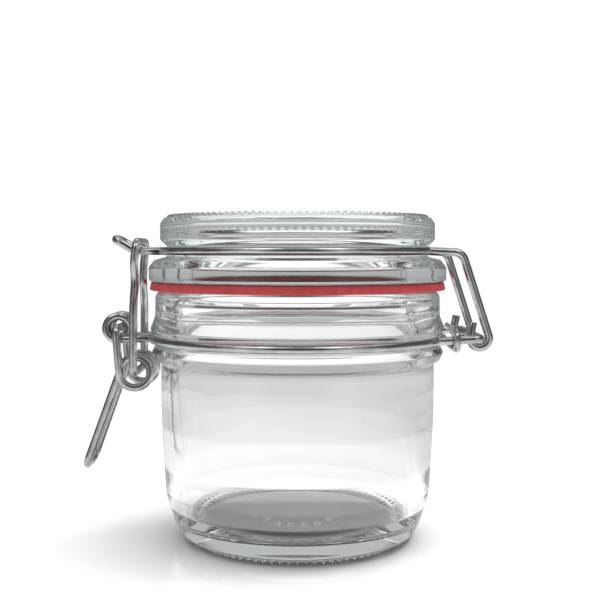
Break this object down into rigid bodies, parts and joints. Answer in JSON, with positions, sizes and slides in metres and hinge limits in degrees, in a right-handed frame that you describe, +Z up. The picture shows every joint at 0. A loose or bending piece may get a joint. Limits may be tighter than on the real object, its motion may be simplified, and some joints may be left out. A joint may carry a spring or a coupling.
{
  "type": "clip top jar",
  "caption": "Small round glass jar whose hinged glass lid is pressed on a red rubber ring and held shut by a wire clip with a thumb lever",
  "frame": {"origin": "on the jar's axis in the plane of its foot, where it stands", "axes": "+Z up along the jar's axis, +X towards the hinge and -X towards the clip, +Y to the right of someone who faces the clip"},
  "size_m": [0.1149, 0.086, 0.0921],
  "materials": {
    "jar_glass": "clear pressed glass, smooth",
    "lid_glass": "clear pressed glass, smooth, beaded top edge",
    "red_rubber": "matte red natural rubber",
    "bright_wire": "bright drawn steel wire"
  },
  "bodies": {
    "jar": {"jar_body": "jar_glass", "neck_wire": "bright_wire", "hinge_tie": "bright_wire"},
    "lid": {"lid_glass": "lid_glass", "gasket": "red_rubber", "lid_wire": "bright_wire"},
    "lever": {"lever": "bright_wire"},
    "link": {"link": "bright_wire"}
  },
  "joints": [
    {"name": "lid_hinge", "type": "hinge", "parent": "jar", "child": "lid", "pos_m": [0.0501, 0, 0.0578], "axis": [0, 1, 0], "range_deg": [0, 180]},
    {"name": "lever_pivot", "type": "hinge", "parent": "jar", "child": "lever", "pos_m": [-0.0513, 0, 0.0598], "axis": [0, 1, 0], "range_deg": [0, 100]},
    {"name": "link_pivot", "type": "hinge", "parent": "lever", "child": "link", "pos_m": [-0.046, 0, 0.0474], "axis": [0, 1, 0], "range_deg": [-135, 0]}
  ],
  "couplings": [
    {"joint": "lever_pivot", "follows": "lid_hinge", "ratio": 0.55556},
    {"joint": "link_pivot", "follows": "lid_hinge", "ratio": -0.75}
  ]
}
